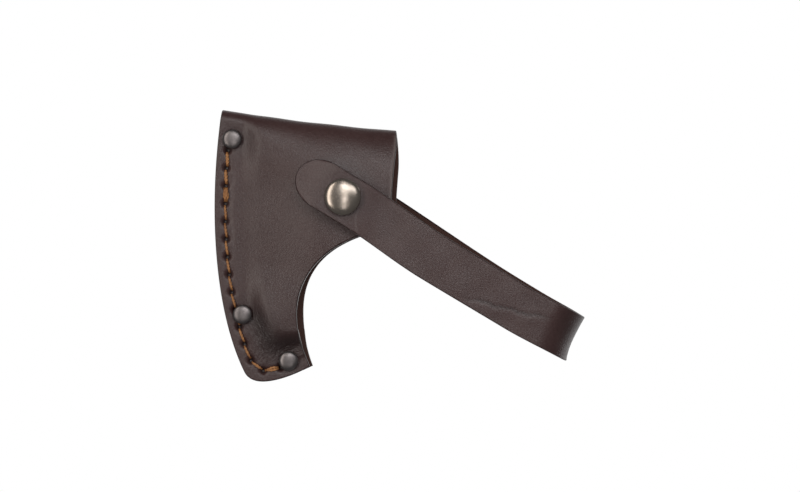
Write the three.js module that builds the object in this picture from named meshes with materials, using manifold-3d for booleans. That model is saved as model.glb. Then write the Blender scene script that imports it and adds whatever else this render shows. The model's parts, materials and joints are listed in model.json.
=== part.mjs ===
// Leather cover for the head of a small hatchet.
//
// One folded piece of leather makes the front panel, the fold and the back panel. A spacer strip (the welt)
// lies between the panels along the cutting edge, and two threads and three rivets hold the three layers
// together. A strap is riveted to the back panel, loops round past the open mouth and closes on the front
// panel with a press stud.
//
// Millimetres. The origin is the middle of the pocket's mouth. +X leaves the mouth, +Z is the side of the
// fold and -Y is the front.

import * as THREE from 'three';
import { mergeVertices } from 'three/addons/utils/BufferGeometryUtils.js';
import Module from 'manifold-3d';

const wasm = await Module();
wasm.setup();

// ---- Driving dimensions ----

const leather = 2.8; // thickness of the body and of the strap
const clearance = 0.3; // left between pieces that lie on each other

// Outline of the body, seen from the front
const edgeReach = 74.5; // mouth to the furthest point of the stitched edge
const toeDrop = 83.8; // origin down to the lowest point of the toe
const foldHeightRear = 29.2; // origin up to the fold at the stitched edge
const foldHeightMouth = 20.6; // origin up to the fold at the mouth
const foldSag = 0.8; // dip of the fold's line between its ends
const heelReach = 34.8; // mouth to the corner between the toe and the beard cut-out
const heelRise = 6.3; // that corner above the lowest point
const throatReach = 40.8; // mouth to the deepest point of the beard cut-out
const mouthDrop = 20; // origin down to the mouth's lower corner
const mouthLean = 1.3; // that corner back from the origin
const mouthTopLead = 0.8; // that corner to the fold's end at the mouth
const backLead = 1.6; // the back panel's free edge stands this far past the front panel's

// Depth of the pocket
const pocketHalf = 7.2; // half the pocket's width at the mouth
const stepRise = 2.2; // rise of each panel just past the flat stretch along the seam
const stepRun = 9; // over this distance
const cheekRun = 41; // distance past the flat stretch where the panels become parallel
const foldRatio = 1.8; // the fold's height over its half width, near the mouth
const roundFoldReach = 70; // mouth to where the fold's section is still round
const ovalFoldReach = 25; // mouth to where it has its full height

// Welt and seam
const weltThickness = 2.8;
const weltWidth = 10.5;
const weltTop = 5.8; // distance along the edge from the fold to the welt's end
const stitchInset = 4.5;
const stitchPitch = 7.3;
const firstHole = 16.5; // distance along the seam line from the fold to the first hole
const lastHole = 10.7; // distance from the last hole to the heel corner
const threadRadius = 0.6;
const threadPlay = 0.5; // round the thread in its holes
const flatMargin = 0.5; // the flat stretch goes this far past the welt and the rivets

// Edge rivets: distance along the edge from the fold or from the heel corner, and distance in from the edge
const edgeRivets = {
  top: { fromFold: 11.9, inset: 5.9 },
  middle: { fromHeel: 53.6, inset: 7.1 },
  toe: { fromHeel: 7.4, inset: 6 },
};
const rivetCapRadius = 4;
const rivetCapHeight = 2;
const rivetShaftRadius = 1.4;
const rivetRim = 0.3; // height of a cap's straight side, and how far its flat side is tucked in

// Strap
const pivotBack = 21; // mouth back to the axis of the press stud and the strap rivet
const pivotDrop = 7.4; // origin down to that axis
const strapFall = 31.1; // degrees that the strap points down from +X
const strapWidth = 20;
const strapReach = 112.6; // axis to the outside of the loop's end
const tipReach = 21.5; // axis to the strap's free tip
const tipRound = 12; // length of the tip's rounding
const rearReach = 12; // axis to the strap's riveted end

// Press stud
const studFlangeRadius = 5;
const studFlangeThickness = 0.6;
const studHeadRadius = 2.9;
const studNeckRadius = 2.5;
const studHeight = 3.1; // top of the flange's leather side to the top of the head
const studBoreRadius = 1.5;
const studPostRadius = 1.2;
const studPostShort = 1.4; // the post's end below the socket's ceiling
const studNeckTop = 0.55; // as a share of the stud's height
const studHeadLow = 0.7; // the same: widest part of the head, from here
const studHeadHigh = 0.85; // to here
const studTipBevel = 0.5;
const socketRadius = 6;
const socketPlate = 0.6; // thickness of the socket's top
const socketPlay = 0.5; // round the stud's head, so that it lifts off at the strap's angle
const socketLip = 0.6; // thickness below the spring's groove
const springThickness = 0.6;
const springWidth = 0.9;
const snapCapRadius = 7.5;
const snapCapHeight = 3.2;
const snapCapRim = 0.6; // height of the cap's straight side
const snapCapTuck = 0.5; // how far its flat side is tucked in
const snapPostRadius = 1.4;
const snapPostPlay = 0.05; // between the cap's post and the socket's ceiling

// Strap rivet
const strapRivetCapRadius = 4.5;
const strapRivetCapHeight = 2.1;
const innerHeadThickness = 0.6; // flat heads inside the pocket

// Fineness of the faceted surfaces
const turnSides = 18; // sides of a turned piece
const boreSides = 10; // sides of a rivet's hole
const threadSides = 6; // sides of a thread and of its hole
const gridStep = 5; // spacing of the points on the bulged panels
const foldSteps = 8; // facets round the fold
const bendSteps = 10; // facets round half of the strap's bend
const outlineSteps = 12; // facets along each curve of an outline
const formMargin = 6; // of the uncut form past the outline
const coreOverrun = 5; // of the hollow's form past the uncut form

// ---- Sizes that follow ----

const edgeHalf = weltThickness / 2 + clearance + leather; // outside of a panel at the seam
const mouthHalf = pocketHalf + leather; // outside of a panel near the mouth
const seamHoleRadius = threadRadius + threadPlay;
const deepestRivet = Math.max(...Object.values(edgeRivets).map((rivet) => rivet.inset)) + rivetCapRadius;
const flatWidth = Math.max(weltWidth, deepestRivet + clearance) + flatMargin; // along the stitched edge
const boltHoleRadius = rivetShaftRadius + clearance;
const pivotX = -pivotBack;
const pivotZ = -pivotDrop;
const studTop = clearance + studHeight; // heights over the front panel's face
const socketTop = studTop + clearance + socketPlate;
const strapFrontInner = mouthHalf + socketTop + clearance;
const strapFrontOuter = strapFrontInner + leather;
const strapRearInner = mouthHalf + clearance;
const strapRearOuter = strapRearInner + leather;
const farAway = 60; // reach of cutting blocks past the body

// ---- Solids and meshes ----

// A closed three.js geometry as a manifold solid.
function solid(geometry) {
  geometry.deleteAttribute('normal');
  geometry.deleteAttribute('uv');
  const merged = mergeVertices(geometry, 1e-4);
  return new wasm.Manifold(new wasm.Mesh({
    numProp: 3,
    vertProperties: new Float32Array(merged.attributes.position.array),
    triVerts: new Uint32Array(merged.index.array),
  }));
}

// A manifold solid back as a three.js geometry.
function geometryOf(shape) {
  const mesh = shape.getMesh();
  const geometry = new THREE.BufferGeometry();
  geometry.setAttribute('position', new THREE.BufferAttribute(mesh.vertProperties, 3));
  geometry.setIndex(new THREE.BufferAttribute(mesh.triVerts, 1));
  geometry.computeVertexNormals();
  return geometry;
}

function namedMesh(name, geometry, material) {
  const mesh = new THREE.Mesh(geometry, material);
  mesh.name = name;
  return mesh;
}

// A round bar along Y from y0 to y1 through (x, z).
function barAlongY(radius, y0, y1, x, z, sides = boreSides) {
  const geometry = new THREE.CylinderGeometry(radius, radius, Math.abs(y1 - y0), sides);
  geometry.translate(x, (y0 + y1) / 2, z);
  return solid(geometry);
}

// A flat shape drawn in X and Z, made thick along Y from y0 to y1.
function plateAlongY(shape, y0, y1) {
  const settings = { depth: y1 - y0, bevelEnabled: false, curveSegments: outlineSteps };
  const geometry = new THREE.ExtrudeGeometry(shape, settings);
  geometry.rotateX(Math.PI / 2);
  geometry.translate(0, y1, 0);
  return geometry;
}

// A piece turned round the Y axis. Its profile is pairs of radius and height, from the axis at the bottom
// round the outside to the axis at the top.
function turned(profile) {
  return new THREE.LatheGeometry(profile.map(([r, y]) => new THREE.Vector2(r, y)), turnSides);
}

// Profile points of a dome from its rim at height y0 to its top at y0 + rise.
function dome(radius, y0, rise) {
  const steps = 4;
  return Array.from({ length: steps + 1 }, (_, i) => {
    const angle = (i / steps) * (Math.PI / 2);
    return [i === steps ? 0 : radius * Math.cos(angle), y0 + rise * Math.sin(angle)];
  });
}

// ---- Materials ----

const bodyLeather = () => new THREE.MeshStandardMaterial({ color: 0x4c3a38, roughness: 0.5, metalness: 0 });
const weltLeather = () => new THREE.MeshStandardMaterial({ color: 0x3a2320, roughness: 0.7, metalness: 0 });
const strapLeather = () => new THREE.MeshStandardMaterial({ color: 0x503e3c, roughness: 0.45, metalness: 0 });
const waxedThread = () => new THREE.MeshStandardMaterial({ color: 0xb57a45, roughness: 0.7, metalness: 0 });
const antiqueNickel = () => new THREE.MeshStandardMaterial({ color: 0x7a7370, roughness: 0.35, metalness: 1 });
const antiqueBrass = () => new THREE.MeshStandardMaterial({ color: 0x8d7a62, roughness: 0.35, metalness: 1 });
const springSteel = () => new THREE.MeshStandardMaterial({ color: 0xa0a0a2, roughness: 0.3, metalness: 1 });

// ---- Outline of the body ----

const at = (x, z) => new THREE.Vector2(x, z);

// Corners of the outline, and the handles that pull the curves between them.
const points = {
  foldRear: at(3 - edgeReach, foldHeightRear),
  rearHandleHigh: at(-edgeReach - 3.5, -0.2 * toeDrop),
  rearHandleLow: at(1.1 - edgeReach, -0.68 * toeDrop),
  toeStart: at(12.5 - edgeReach, 3.8 - toeDrop),
  toeHandleHigh: at(14 - edgeReach, 1 - toeDrop),
  toeHandleLow: at(17 - edgeReach, -toeDrop),
  toe: at(20 - edgeReach, -toeDrop),
  heelHandleLow: at(26 - edgeReach, -toeDrop),
  heelHandleHigh: at(-heelReach - 6, heelRise - 3.3 - toeDrop),
  heel: at(-heelReach, heelRise - toeDrop),
  beardHandleLow: at(-throatReach - 8.2, -0.56 * toeDrop),
  beardHandleHigh: at(6.3 - throatReach, -mouthDrop - 6),
  mouthLow: at(-mouthLean, -mouthDrop),
  mouthHandleLow: at(-mouthLean, 0),
  mouthHandleHigh: at(mouthLean, foldHeightMouth / 2),
  mouthTop: at(mouthTopLead, foldHeightMouth),
};

function curveTo(path, handle1, handle2, end) {
  path.bezierCurveTo(handle1.x, handle1.y, handle2.x, handle2.y, end.x, end.y);
}

// The stitched edge, from the fold down round the toe to the heel corner.
function stitchedEdge() {
  const path = new THREE.Path();
  path.moveTo(points.foldRear.x, points.foldRear.y);
  curveTo(path, points.rearHandleHigh, points.rearHandleLow, points.toeStart);
  curveTo(path, points.toeHandleHigh, points.toeHandleLow, points.toe);
  curveTo(path, points.heelHandleLow, points.heelHandleHigh, points.heel);
  return path;
}

const edge = stitchedEdge();
edge.arcLengthDivisions = 400;
const edgeLength = edge.getLength();
const edgeSamples = edge.getSpacedPoints(120);

// The point a distance along the edge from the fold and a distance in from it.
function fromEdge(along, inset) {
  const u = along / edgeLength;
  const tangent = edge.getTangentAt(u);
  return edge.getPointAt(u).add(new THREE.Vector2(-tangent.y, tangent.x).multiplyScalar(inset));
}

// How far a point lies in from the stitched edge, 0 on it and outside it.
function inwardDistance(x, z) {
  const point = new THREE.Vector2(x, z);
  let nearest = 0;
  for (let i = 1; i < edgeSamples.length; i += 1) {
    if (edgeSamples[i].distanceTo(point) < edgeSamples[nearest].distanceTo(point)) nearest = i;
  }
  const along = edgeSamples[Math.min(nearest + 1, edgeSamples.length - 1)].clone()
    .sub(edgeSamples[Math.max(nearest - 1, 0)]);
  const across = point.clone().sub(edgeSamples[nearest]);
  return along.cross(across) > 0 ? across.length() : 0;
}

// The points a distance in from the edge, without the loop that a tight bend would make.
function insetLine(inset, from, to) {
  const steps = 60;
  return Array.from({ length: steps + 1 }, (_, i) => fromEdge(from + ((to - from) * i) / steps, inset))
    .filter((point) => inset === 0 || inwardDistance(point.x, point.y) > inset - 0.15);
}

function bodyOutline() {
  const shape = new THREE.Shape();
  shape.moveTo(points.foldRear.x, farAway);
  insetLine(0, 0, edgeLength).forEach((point) => shape.lineTo(point.x, point.y));
  curveTo(shape, points.beardHandleLow, points.beardHandleHigh, points.mouthLow);
  curveTo(shape, points.mouthHandleLow, points.mouthHandleHigh, points.mouthTop);
  shape.lineTo(points.mouthTop.x, farAway);
  return shape;
}

// The outline as a block right through the body. Its free edges lean, so that the back panel stands past
// the front one, and its stitched edge stays square.
function outlineBlock() {
  const geometry = plateAlongY(bodyOutline(), -farAway / 2, farAway / 2);
  const position = geometry.attributes.position;
  for (let i = 0; i < position.count; i += 1) {
    const x = position.getX(i);
    const free = THREE.MathUtils.smoothstep(x, points.toe.x, points.heel.x);
    const towardsBack = (position.getY(i) + mouthHalf) / (2 * mouthHalf);
    position.setX(i, x + free * backLead * towardsBack);
  }
  return solid(geometry);
}

// ---- Bulge of the body ----

// Height of the fold's top over the origin plane at x.
function foldTop(x) {
  const t = THREE.MathUtils.clamp((x - points.foldRear.x) / -points.foldRear.x, 0, 1);
  return foldHeightRear + (foldHeightMouth - foldHeightRear) * t - foldSag * Math.sin(Math.PI * t);
}

// Distance of a panel's outside face from the middle plane.
function panelHalf(x, z) {
  const past = inwardDistance(x, z) - flatWidth;
  const step = THREE.MathUtils.smoothstep(past, 0, stepRun);
  const cheek = THREE.MathUtils.smoothstep(past, 0, cheekRun);
  return edgeHalf + stepRise * step + (mouthHalf - edgeHalf - stepRise) * cheek;
}

// Height of the fold over its shoulders, for its half width at x: round at the rear, oval near the mouth.
function foldHeight(x, halfWidth) {
  return halfWidth * (1 + (foldRatio - 1) * THREE.MathUtils.smoothstep(x, -roundFoldReach, -ovalFoldReach));
}

// One cross-section of the folded body at x, as a ring of points: up the front panel, over the fold and down
// the back panel. inset takes it from the outside face to the inside face.
function foldedRing(x, inset, bottom) {
  const rows = Math.ceil((foldHeightRear - bottom) / gridStep);
  const halfWidth = panelHalf(x, foldTop(x) - mouthHalf);
  const height = foldHeight(x, halfWidth);
  const shoulder = foldTop(x) - height;
  const panel = Array.from({ length: rows }, (_, i) => {
    const z = bottom + ((shoulder - bottom) * i) / (rows - 1);
    return [Math.min(panelHalf(x, z), i === rows - 1 ? halfWidth : mouthHalf) - inset, z];
  });
  const front = panel.map(([y, z]) => new THREE.Vector3(x, -y, z));
  const back = panel.map(([y, z]) => new THREE.Vector3(x, y, z)).reverse();
  const over = Array.from({ length: foldSteps - 1 }, (_, i) => {
    const angle = (Math.PI * (i + 1)) / foldSteps;
    const y = (inset - halfWidth) * Math.cos(angle);
    return new THREE.Vector3(x, y, shoulder + (height - inset) * Math.sin(angle));
  });
  return [...front, ...over, ...back];
}

// A closed solid through equal rings of points, with a fan over each end.
function loft(rings) {
  const points = rings.flat();
  const count = rings[0].length;
  const index = [];
  for (let r = 0; r + 1 < rings.length; r += 1) {
    for (let i = 0; i < count; i += 1) {
      const a = r * count + i;
      const b = r * count + ((i + 1) % count);
      index.push(a, a + count, b, b, a + count, b + count);
    }
  }
  for (const [ring, flip] of [[0, true], [rings.length - 1, false]]) {
    const middle = rings[ring].reduce((sum, p) => sum.add(p), new THREE.Vector3()).divideScalar(count);
    points.push(middle);
    for (let i = 0; i < count; i += 1) {
      const a = ring * count + i;
      const b = ring * count + ((i + 1) % count);
      index.push(...(flip ? [a, b, points.length - 1] : [b, a, points.length - 1]));
    }
  }
  const geometry = new THREE.BufferGeometry().setFromPoints(points);
  geometry.setIndex(index);
  return solid(geometry);
}

// The whole folded form from face to face, before its outline is cut.
function foldedForm(inset, extra) {
  const margin = formMargin + extra;
  const from = -edgeReach - margin;
  const stations = Math.ceil((margin - from) / gridStep);
  return loft(Array.from({ length: stations + 1 }, (_, i) =>
    foldedRing(from + ((margin - from) * i) / stations, inset, -toeDrop - margin)));
}

// ---- Seam ----

// Hole centres along the seam line, evenly spaced.
function seamHoles() {
  const line = new THREE.SplineCurve(insetLine(stitchInset, 0, edgeLength));
  line.arcLengthDivisions = 400;
  const length = line.getLength();
  const run = length - firstHole - lastHole;
  const stitches = Math.round(run / stitchPitch);
  return Array.from({ length: stitches + 1 }, (_, i) =>
    line.getPointAt((firstHole + (run * i) / stitches) / length));
}

const holes = seamHoles();
const threadHeight = edgeHalf - threadRadius; // the thread lies in a groove, flush with the leather

// A bar drawn along X, turned and moved to lie from one seam hole to the next at height y.
function laidBetween(geometry, a, b, y) {
  geometry.rotateY(-Math.atan2(b.y - a.y, b.x - a.x));
  geometry.translate((a.x + b.x) / 2, y, (a.y + b.y) / 2);
  return solid(geometry);
}

function stitchBetween(a, b, y) {
  const length = a.distanceTo(b) + threadRadius;
  const geometry = new THREE.CylinderGeometry(threadRadius, threadRadius, length, threadSides);
  return laidBetween(geometry.rotateZ(Math.PI / 2), a, b, y);
}

function grooveBetween(a, b, side) {
  const depth = 2 * threadRadius + clearance;
  const width = 2 * (threadRadius + clearance);
  const proud = 2; // of the leather, so that the groove is open
  const geometry = new THREE.BoxGeometry(a.distanceTo(b), depth + proud, width);
  return laidBetween(geometry, a, b, side * (edgeHalf + (proud - depth) / 2));
}

// Every seam hole, right through, and on each face the groove that the thread lies in.
function seamCuts() {
  const reach = mouthHalf + clearance;
  let cuts = barAlongY(seamHoleRadius, -reach, reach, holes[0].x, holes[0].y, threadSides);
  for (let i = 1; i < holes.length; i += 1) {
    cuts = cuts.add(barAlongY(seamHoleRadius, -reach, reach, holes[i].x, holes[i].y, threadSides));
    cuts = cuts.add(grooveBetween(holes[i - 1], holes[i], -1));
    cuts = cuts.add(grooveBetween(holes[i - 1], holes[i], 1));
  }
  return cuts;
}

// One lock-stitch thread: a stitch over each space between holes, and a leg down each hole to the middle.
function seamThread(side) {
  const legTop = side * threadHeight;
  const legEnd = (side * clearance) / 2;
  let thread = barAlongY(threadRadius, legEnd, legTop, holes[0].x, holes[0].y, threadSides);
  for (let i = 1; i < holes.length; i += 1) {
    thread = thread.add(barAlongY(threadRadius, legEnd, legTop, holes[i].x, holes[i].y, threadSides));
    thread = thread.add(stitchBetween(holes[i - 1], holes[i], side * threadHeight));
  }
  return thread;
}

// ---- Body and welt ----

const rivetPlaces = Object.entries(edgeRivets).map(([name, { fromFold, fromHeel, inset }]) =>
  [name, fromEdge(fromFold ?? edgeLength - fromHeel, inset)]);
const rivetBoreDepth = 1.1; // of the hollow in a cap that grips the shaft

function rivetHoles() {
  const reach = mouthHalf + clearance;
  return rivetPlaces
    .map(([, at]) => barAlongY(boltHoleRadius, -reach, reach, at.x, at.y))
    .reduce((all, hole) => all.add(hole));
}

const cutLine = outlineBlock();
const seam = seamCuts();
const rivetBores = rivetHoles();

function sheathBody() {
  return foldedForm(0, 0)
    .intersect(cutLine)
    .subtract(foldedForm(leather, coreOverrun))
    .subtract(seam)
    .subtract(rivetBores)
    .subtract(barAlongY(studPostRadius + clearance, -farAway / 2, 0, pivotX, pivotZ))
    .subtract(barAlongY(boltHoleRadius, 0, farAway / 2, pivotX, pivotZ));
}

function weltStrip() {
  const outer = insetLine(0, weltTop, edgeLength);
  const inner = insetLine(weltWidth, weltTop, edgeLength).reverse();
  const band = new THREE.Shape([...outer, ...inner]);
  return solid(plateAlongY(band, -weltThickness / 2, weltThickness / 2))
    .intersect(cutLine)
    .subtract(seam)
    .subtract(rivetBores);
}

// ---- Rivets and press stud: each is turned with its outside end up, along +Y ----

// A domed cap whose flat side lies at height y0, with a hollow for a shaft.
function rivetCap(radius, height, y0) {
  const bore = boltHoleRadius;
  return turned([
    [0, y0 + rivetBoreDepth],
    [bore, y0 + rivetBoreDepth],
    [bore, y0],
    [radius - rivetRim, y0],
    ...dome(radius, y0 + rivetRim, height - rivetRim),
  ]);
}

// A shaft with a domed head below it: the head's flat side at yHead, the shaft's end at yEnd.
function rivetPost(radius, height, yHead, yEnd) {
  const head = dome(radius, rivetRim - yHead, height - rivetRim).map(([r, y]) => [r, -y]).reverse();
  return turned([
    ...head,
    [radius - rivetRim, yHead],
    [rivetShaftRadius, yHead],
    [rivetShaftRadius, yEnd],
    [0, yEnd],
  ]);
}

// A shaft with a thin flat head below it.
function flatPost(headRadius, shaftRadius, yHead, yEnd) {
  return turned([
    [0, yHead - innerHeadThickness],
    [headRadius, yHead - innerHeadThickness],
    [headRadius, yHead],
    [shaftRadius, yHead],
    [shaftRadius, yEnd],
    [0, yEnd],
  ]);
}

function pressStud() {
  const base = mouthHalf + clearance;
  return turned([
    [0, base + studHeight - studFlangeThickness],
    [studBoreRadius, base + studHeight - studFlangeThickness],
    [studBoreRadius, base],
    [studFlangeRadius, base],
    [studFlangeRadius, base + studFlangeThickness],
    [studNeckRadius, base + studFlangeThickness],
    [studNeckRadius, base + studHeight * studNeckTop],
    [studHeadRadius, base + studHeight * studHeadLow],
    [studHeadRadius, base + studHeight * studHeadHigh],
    [studHeadRadius - studTipBevel, base + studHeight],
    [0, base + studHeight],
  ]);
}

const socketBottom = mouthHalf + clearance + studFlangeThickness + clearance;
const socketCeiling = mouthHalf + studTop + clearance;
const socketBore = studHeadRadius + socketPlay;
const springRoom = springThickness + 2 * clearance;
const springBottom = socketBottom + socketLip + clearance;

function snapSocket() {
  const grooveLow = springBottom - clearance;
  const grooveRadius = socketBore + springWidth + clearance;
  return new THREE.LatheGeometry([
    [socketBore, socketBottom],
    [socketRadius, socketBottom],
    [socketRadius, mouthHalf + socketTop],
    [snapPostRadius + clearance, mouthHalf + socketTop],
    [snapPostRadius + clearance, socketCeiling],
    [socketBore, socketCeiling],
    [socketBore, grooveLow + springRoom],
    [grooveRadius, grooveLow + springRoom],
    [grooveRadius, grooveLow],
    [socketBore, grooveLow],
    [socketBore, socketBottom],
  ].map(([r, y]) => new THREE.Vector2(r, y)), turnSides);
}

function springRing() {
  const top = springBottom + springThickness;
  return new THREE.LatheGeometry([
    [socketBore, springBottom],
    [socketBore + springWidth, springBottom],
    [socketBore + springWidth, top],
    [socketBore, top],
    [socketBore, springBottom],
  ].map(([r, y]) => new THREE.Vector2(r, y)), turnSides);
}

function snapCap() {
  const base = strapFrontOuter + clearance;
  return turned([
    [0, socketCeiling + snapPostPlay],
    [snapPostRadius, socketCeiling + snapPostPlay],
    [snapPostRadius, base],
    [snapCapRadius - snapCapTuck, base],
    ...dome(snapCapRadius, base + snapCapRim, snapCapHeight - snapCapRim),
  ]);
}

// ---- Strap, in its own frame: x along the strap from the pivot, z across it ----

const bendInner = (strapFrontInner + strapRearInner) / 2;
const bendOuter = bendInner + leather;
const bendY = (strapRearInner - strapFrontInner) / 2;
const bendX = strapReach - bendOuter;

// One half of the loop, seen edge on: side 1 is the rear run, side -1 the front run.
function loopHalf(side, reachBack) {
  const inner = bendY + side * bendInner;
  const outer = bendY + side * bendOuter;
  const split = (side * clearance) / 2;
  const innerEnd = Math.asin(split / bendInner);
  const outerEnd = Math.asin(split / bendOuter);
  const shape = new THREE.Shape();
  shape.moveTo(-reachBack - 1, inner);
  shape.lineTo(bendX, inner);
  shape.absarc(bendX, bendY, bendInner, (side * Math.PI) / 2, innerEnd, side > 0);
  shape.absarc(bendX, bendY, bendOuter, outerEnd, (side * Math.PI) / 2, side < 0);
  shape.lineTo(-reachBack - 1, outer);
  const settings = { depth: strapWidth, bevelEnabled: false, curveSegments: bendSteps };
  const geometry = new THREE.ExtrudeGeometry(shape, settings);
  geometry.translate(0, 0, -strapWidth / 2);
  return solid(geometry);
}

// The strap's flat outline with its round end, as a block through both runs.
function strapOutline(reachBack, round) {
  const half = strapWidth / 2;
  const shape = new THREE.Shape();
  shape.moveTo(strapReach + 1, -half - 1);
  shape.lineTo(strapReach + 1, half + 1);
  shape.lineTo(round - reachBack, half + 1);
  shape.lineTo(round - reachBack, half);
  shape.absellipse(round - reachBack, 0, round, half, Math.PI / 2, (3 * Math.PI) / 2, false, 0);
  shape.lineTo(round - reachBack, -half - 1);
  return solid(plateAlongY(shape, -farAway / 2, farAway / 2));
}

function strapRear() {
  return loopHalf(1, rearReach)
    .intersect(strapOutline(rearReach, strapWidth / 2))
    .subtract(barAlongY(boltHoleRadius, 0, farAway / 2, 0, 0));
}

function strapFront() {
  return loopHalf(-1, tipReach)
    .intersect(strapOutline(tipReach, tipRound))
    .subtract(barAlongY(snapPostRadius + clearance, -farAway / 2, 0, 0, 0));
}

// ---- Assembly ----

const cover = new THREE.Group();

cover.add(namedMesh('sheath_body', geometryOf(sheathBody()), bodyLeather()));
cover.add(namedMesh('welt', geometryOf(weltStrip()), weltLeather()));
cover.add(namedMesh('needle_thread', geometryOf(seamThread(-1)), waxedThread()));
cover.add(namedMesh('bobbin_thread', geometryOf(seamThread(1)), waxedThread()));

// The edge rivets: each cap on the front, each post through from the back. Turned pieces point along +Y,
// so a half turn about X points them forward.
for (const [name, at] of rivetPlaces) {
  const rivet = new THREE.Group();
  rivet.position.set(at.x, 0, at.y);
  rivet.rotation.x = Math.PI;
  const seat = edgeHalf + clearance;
  const shaftEnd = seat + rivetBoreDepth - clearance;
  rivet.add(namedMesh(`${name}_rivet_cap`, rivetCap(rivetCapRadius, rivetCapHeight, seat), antiqueNickel()));
  rivet.add(namedMesh(`${name}_rivet_post`, rivetPost(rivetCapRadius, rivetCapHeight, -seat, shaftEnd),
    antiqueNickel()));
  cover.add(rivet);
}

// The press stud on the front panel and its socket under the strap.
const pressStudGroup = new THREE.Group();
pressStudGroup.position.set(pivotX, 0, pivotZ);
pressStudGroup.rotation.x = Math.PI;
const innerFace = pocketHalf - clearance;
pressStudGroup.add(namedMesh('snap_stud', pressStud(), antiqueNickel()));
pressStudGroup.add(namedMesh('snap_stud_post',
  flatPost(studFlangeRadius, studPostRadius, innerFace, socketCeiling - studPostShort), antiqueNickel()));
pressStudGroup.add(namedMesh('snap_socket', snapSocket(), antiqueNickel()));
pressStudGroup.add(namedMesh('snap_spring_ring', springRing(), springSteel()));
pressStudGroup.add(namedMesh('snap_cap', snapCap(), antiqueBrass()));
cover.add(pressStudGroup);

// The strap rivet through the back panel and the strap's rear end.
const strapRivetGroup = new THREE.Group();
strapRivetGroup.position.set(pivotX, 0, pivotZ);
const strapSeat = strapRearOuter + clearance;
strapRivetGroup.add(namedMesh('strap_rivet_cap',
  rivetCap(strapRivetCapRadius, strapRivetCapHeight, strapSeat), antiqueNickel()));
strapRivetGroup.add(namedMesh('strap_rivet_post',
  flatPost(strapRivetCapRadius, rivetShaftRadius, innerFace, strapSeat + rivetBoreDepth - clearance),
  antiqueNickel()));
cover.add(strapRivetGroup);

// The strap's two halves, pointing down from +X.
const strap = new THREE.Group();
strap.position.set(pivotX, 0, pivotZ);
strap.rotation.y = THREE.MathUtils.degToRad(strapFall);
strap.add(namedMesh('strap_rear', geometryOf(strapRear()), strapLeather()));
strap.add(namedMesh('strap_front', geometryOf(strapFront()), strapLeather()));
cover.add(strap);

export default cover;
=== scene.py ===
"""Leather cover for the head of a small hatchet, put together as a saddler makes it.

Millimetres inside the shape functions, metres in the meshes. +X leaves the pocket's mouth, +Z is the side of
the fold and -Y is the front.
"""
import json
import math

import bmesh
import bpy
import numpy as np
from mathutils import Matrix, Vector


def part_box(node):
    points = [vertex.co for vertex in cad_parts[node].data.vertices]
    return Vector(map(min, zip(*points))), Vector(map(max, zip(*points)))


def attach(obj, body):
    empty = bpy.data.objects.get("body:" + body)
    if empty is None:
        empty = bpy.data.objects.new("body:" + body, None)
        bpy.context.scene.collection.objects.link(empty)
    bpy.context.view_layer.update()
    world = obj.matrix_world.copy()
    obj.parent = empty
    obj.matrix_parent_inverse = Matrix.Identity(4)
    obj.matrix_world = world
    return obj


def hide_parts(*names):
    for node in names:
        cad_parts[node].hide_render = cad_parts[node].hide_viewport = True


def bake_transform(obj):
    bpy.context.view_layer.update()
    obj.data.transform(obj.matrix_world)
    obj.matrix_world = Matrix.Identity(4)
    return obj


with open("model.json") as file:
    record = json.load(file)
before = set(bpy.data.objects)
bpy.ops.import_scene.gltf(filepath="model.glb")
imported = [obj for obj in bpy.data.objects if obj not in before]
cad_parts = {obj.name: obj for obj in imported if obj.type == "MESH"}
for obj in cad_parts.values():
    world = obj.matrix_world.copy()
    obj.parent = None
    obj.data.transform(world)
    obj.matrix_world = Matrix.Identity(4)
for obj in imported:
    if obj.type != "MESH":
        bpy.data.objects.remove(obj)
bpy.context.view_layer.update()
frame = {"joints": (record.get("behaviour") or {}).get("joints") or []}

# ---- Front, fold and back: one piece of leather ----
# A single cut of dark brown, smooth-grained leather, 2.8 mm thick. It is folded over along the top, and its
# two panels are drawn together along the cutting edge's side and bulge over the cheeks of the hatchet's
# head.

MM = 0.001
leather = 2.8
seam_half = 4.5  # middle plane to the leather's face along the seam
mouth_half = 10.0  # and near the mouth
seam_band = 9.6  # width of the flat band along the stitched edge
step_run = 9.0  # the panels rise by a step over this distance inside the band
plain_step, top_step, toe_step = 0.4, 1.9, 3.5  # height of the step half-way down, at the top and at the toe
cheek_run = 43.0  # where the panels become parallel
fold_ratio = 2.5  # of the fold's height to its half width, near the mouth
fold_rear, fold_mouth, fold_sag = 29.2, 20.6, 0.8  # height of the fold's top
rear_x, mouth_x = -71.5, 0.8

edge_curves = [  # the stitched edge, from the fold round the toe to the heel corner, as Bezier points
    [(-71.5, 29.2), (-78.0, -16.8), (-73.4, -57.0), (-62.0, -80.0)],
    [(-62.0, -80.0), (-60.5, -82.8), (-57.5, -83.8), (-54.5, -83.8)],
    [(-54.5, -83.8), (-48.5, -83.8), (-40.8, -80.8), (-34.8, -77.5)],
]
free_curves = [  # the beard cut-out and the mouth, from the heel corner up to the fold
    [(-34.8, -77.5), (-49.0, -46.9), (-34.5, -26.0), (-1.3, -20.0)],
    [(-1.3, -20.0), (-1.3, 0.0), (1.3, 10.3), (0.8, 20.6)],
]
mouth_lead, beard_lead, least_lead = 1.8, 2.0, 0.2  # how far the back panel stands past the front one


def smoothstep(value, low, high):
    """0 below low, 1 above high, and 3t^2 - 2t^3 between them."""
    t = np.clip((value - low) / (high - low), 0, 1)
    return t * t * (3 - 2 * t)


def bezier(points, count=300):
    """Points of a cubic Bezier curve, by its Bernstein sum."""
    t = np.linspace(0, 1, count)[:, None]
    a, b, c, d = (np.array(p, float) for p in points)
    return (1 - t) ** 3 * a + 3 * t * (1 - t) ** 2 * b + 3 * t * t * (1 - t) * c + t ** 3 * d


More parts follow.
